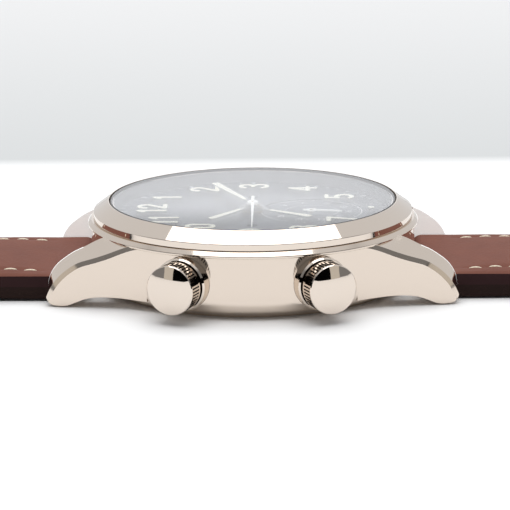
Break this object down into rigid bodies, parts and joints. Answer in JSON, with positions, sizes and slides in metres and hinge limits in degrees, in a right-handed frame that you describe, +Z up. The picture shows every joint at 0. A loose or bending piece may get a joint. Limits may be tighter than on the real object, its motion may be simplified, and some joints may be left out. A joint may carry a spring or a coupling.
{
  "type": "pilot wristwatch",
  "caption": "Round dual-time pilot wristwatch with fluted quarter-turn pushers, applied numerals, display back and a two-piece leather strap with a pin buckle.",
  "frame": {"origin": "centre of the flat case back, which the watch lies on", "axes": "+Z up through the crystal, +Y towards 12 o'clock, +X towards the crown at 3 o'clock"},
  "size_m": [0.0482, 0.2467, 0.0108],
  "materials": {
    "case_metal": "polished pale warm white metal",
    "sapphire": "clear polished sapphire",
    "gasket": "matt black",
    "dial_ring_metal": "satin dark blue",
    "dial_blue": "dark blue satin lacquer",
    "applied_metal": "polished",
    "lume": "matt cream luminous paint",
    "holder_metal": "satin nickel plate",
    "plate_metal": "rhodium plate with fine stripes",
    "polished_steel": "polished",
    "ruby": "polished synthetic ruby",
    "spring_steel": "fine satin",
    "wheel_brass": "fine satin gilt",
    "hand_metal": "polished",
    "white_paint": "white lacquer",
    "rotor_gold": "satin gilt with a stripe pattern",
    "strap_leather": "matt brown calf leather",
    "lining_leather": "matt very dark brown calf leather"
  },
  "bodies": {
    "case": {"case_middle": "case_metal", "bezel": "case_metal", "crystal": "sapphire", "crystal_gasket": "gasket", "dial_ring": "dial_ring_metal", "dial": "dial_blue", "hour_numerals": "applied_metal", "numeral_lume": "lume", "caseback_ring": "case_metal", "caseback_gasket": "gasket", "caseback_crystal": "sapphire", "movement_holder": "holder_metal", "main_plate": "plate_metal", "barrel_bridge": "plate_metal", "train_bridge": "plate_metal", "balance_cock": "plate_metal", "bridge_screws": "polished_steel", "jewels": "ruby", "rotor_bearing": "polished_steel", "case_tubes": "case_metal", "spring_bars": "polished_steel", "hairspring": "spring_steel", "upper_pusher_spring": "spring_steel", "lower_pusher_spring": "spring_steel"},
    "setting_lever": {"setting_lever": "polished_steel"},
    "crown": {"crown": "case_metal", "winding_stem": "polished_steel"},
    "upper_pusher_stem": {"upper_pusher_stem": "polished_steel"},
    "upper_pusher_cap": {"upper_pusher_cap": "case_metal"},
    "lower_pusher_stem": {"lower_pusher_stem": "polished_steel"},
    "lower_pusher_cap": {"lower_pusher_cap": "case_metal"},
    "seconds": {"fourth_wheel": "wheel_brass", "seconds_hand": "white_paint"},
    "minute": {"cannon_pinion": "polished_steel", "minute_hand": "hand_metal"},
    "home_hour": {"home_hour_wheel": "wheel_brass", "home_hour_hand": "hand_metal"},
    "local_hour": {"local_hour_wheel": "wheel_brass", "local_hour_hand": "hand_metal"},
    "date": {"date_wheel": "wheel_brass", "date_hand": "white_paint"},
    "local_night": {"local_night_disc": "white_paint"},
    "home_night": {"home_night_disc": "white_paint"},
    "barrel": {"mainspring_barrel": "wheel_brass", "mainspring": "spring_steel"},
    "centre_wheel": {"centre_wheel": "wheel_brass"},
    "third_wheel": {"third_wheel": "wheel_brass"},
    "escape_wheel": {"escape_wheel": "polished_steel"},
    "pallet_fork": {"pallet_fork": "polished_steel"},
    "balance_wheel": {"balance_wheel": "wheel_brass"},
    "rotor": {"rotor": "rotor_gold"},
    "short_strap": {"short_strap_upper": "strap_leather", "short_strap_lining": "lining_leather", "fixed_keeper": "strap_leather"},
    "long_strap": {"long_strap_upper": "strap_leather", "long_strap_lining": "lining_leather"},
    "free_keeper": {"free_keeper": "strap_leather"},
    "buckle": {"buckle_frame": "case_metal", "buckle_bar": "polished_steel"},
    "buckle_prong": {"buckle_prong": "case_metal"}
  },
  "joints": [
    {"name": "crown_pull", "type": "slide", "parent": "case", "child": "setting_lever", "axis": [1, 0, 0], "range_m": [0, 0.001]},
    {"name": "crown_turn", "type": "hinge", "parent": "setting_lever", "child": "crown", "pos_m": [0.0244, 0, 0.00445], "axis": [1, 0, 0], "continuous": true},
    {"name": "upper_pusher_press", "type": "slide", "parent": "case", "child": "upper_pusher_stem", "axis": [0.9171, -0.3987, 0], "range_m": [0, 0.00045], "stiffness_N_per_m": 1200, "springref_m": -0.0005, "deforming": ["upper_pusher_spring"]},
    {"name": "upper_pusher_turn", "type": "hinge", "parent": "upper_pusher_stem", "child": "upper_pusher_cap", "pos_m": [-0.02261, 0.00983, 0.00445], "axis": [-0.9171, 0.3987, 0], "range_deg": [0, 90]},
    {"name": "lower_pusher_press", "type": "slide", "parent": "case", "child": "lower_pusher_stem", "axis": [0.9171, 0.3987, 0], "range_m": [0, 0.00045], "stiffness_N_per_m": 1200, "springref_m": -0.0005, "deforming": ["lower_pusher_spring"]},
    {"name": "lower_pusher_turn", "type": "hinge", "parent": "lower_pusher_stem", "child": "lower_pusher_cap", "pos_m": [-0.02261, -0.00983, 0.00445], "axis": [-0.9171, -0.3987, 0], "range_deg": [0, 90]},
    {"name": "seconds_turn", "type": "hinge", "parent": "case", "child": "seconds", "pos_m": [0, 0, 0.00775], "axis": [0, 0, -1], "continuous": true},
    {"name": "minute_turn", "type": "hinge", "parent": "case", "child": "minute", "pos_m": [0, 0, 0.00775], "axis": [0, 0, -1], "continuous": true},
    {"name": "home_hour_turn", "type": "hinge", "parent": "case", "child": "home_hour", "pos_m": [0, 0, 0.00775], "axis": [0, 0, -1], "continuous": true},
    {"name": "local_hour_turn", "type": "hinge", "parent": "home_hour", "child": "local_hour", "pos_m": [0, 0, 0.00775], "axis": [0, 0, -1], "continuous": true},
    {"name": "date_turn", "type": "hinge", "parent": "case", "child": "date", "pos_m": [0, -0.0075, 0.00775], "axis": [0, 0, -1], "continuous": true},
    {"name": "local_night_turn", "type": "hinge", "parent": "case", "child": "local_night", "pos_m": [-0.0081, 0.0012, 0.007], "axis": [0, 0, -1], "continuous": true},
    {"name": "home_night_turn", "type": "hinge", "parent": "case", "child": "home_night", "pos_m": [0.0081, 0.0012, 0.007], "axis": [0, 0, -1], "continuous": true},
    {"name": "barrel_turn", "type": "hinge", "parent": "case", "child": "barrel", "pos_m": [-0.00481, 0.0082, 0.0045], "axis": [0, 0, -1], "continuous": true},
    {"name": "centre_wheel_turn", "type": "hinge", "parent": "case", "child": "centre_wheel", "pos_m": [0.00149, 0.0068, 0.0045], "axis": [0, 0, -1], "continuous": true},
    {"name": "third_wheel_turn", "type": "hinge", "parent": "case", "child": "third_wheel", "pos_m": [0.00313, 0.00257, 0.0045], "axis": [0, 0, -1], "continuous": true},
    {"name": "escape_wheel_turn", "type": "hinge", "parent": "case", "child": "escape_wheel", "pos_m": [-0.0022, -0.00304, 0.0045], "axis": [0, 0, -1], "continuous": true},
    {"name": "balance_swing", "type": "hinge", "parent": "case", "child": "balance_wheel", "pos_m": [-0.0056, -0.00919, 0.0045], "axis": [0, 0, 1], "range_deg": [-270, 270], "stiffness_Nm_per_rad": 0.00000032},
    {"name": "pallet_swing", "type": "hinge", "parent": "case", "child": "pallet_fork", "pos_m": [-0.0036, -0.00589, 0.0045], "axis": [0, 0, 1], "range_deg": [-5, 5]},
    {"name": "rotor_turn", "type": "hinge", "parent": "case", "child": "rotor", "pos_m": [0, 0, 0.0023], "axis": [0, 0, 1], "continuous": true},
    {"name": "short_strap_fold", "type": "hinge", "parent": "case", "child": "short_strap", "pos_m": [0, 0.0221, 0.00205], "axis": [1, 0, 0], "range_deg": [-60, 80]},
    {"name": "long_strap_fold", "type": "hinge", "parent": "case", "child": "long_strap", "pos_m": [0, -0.0221, 0.00205], "axis": [-1, 0, 0], "range_deg": [-60, 80]},
    {"name": "free_keeper_slide", "type": "slide", "parent": "short_strap", "child": "free_keeper", "axis": [0, 1, 0], "range_m": [-0.01, 0.0035]},
    {"name": "buckle_turn", "type": "hinge", "parent": "short_strap", "child": "buckle", "pos_m": [0, 0.0971, 0.0022], "axis": [1, 0, 0], "range_deg": [-60, 80]},
    {"name": "prong_turn", "type": "hinge", "parent": "buckle", "child": "buckle_prong", "pos_m": [0, 0.0971, 0.0022], "axis": [1, 0, 0], "range_deg": [0, 45]}
  ],
  "couplings": [
    {"joint": "minute_turn", "follows": "seconds_turn", "ratio": 0.016667},
    {"joint": "home_hour_turn", "follows": "seconds_turn", "ratio": 0.0013889},
    {"joint": "local_night_turn", "follows": "seconds_turn", "ratio": 0.00069444},
    {"joint": "home_night_turn", "follows": "seconds_turn", "ratio": 0.00069444},
    {"joint": "date_turn", "follows": "seconds_turn", "ratio": 0.000022401},
    {"joint": "centre_wheel_turn", "follows": "seconds_turn", "ratio": 0.016667},
    {"joint": "third_wheel_turn", "follows": "seconds_turn", "ratio": -0.125},
    {"joint": "barrel_turn", "follows": "seconds_turn", "ratio": -0.0027778},
    {"joint": "escape_wheel_turn", "follows": "seconds_turn", "ratio": -12}
  ]
}
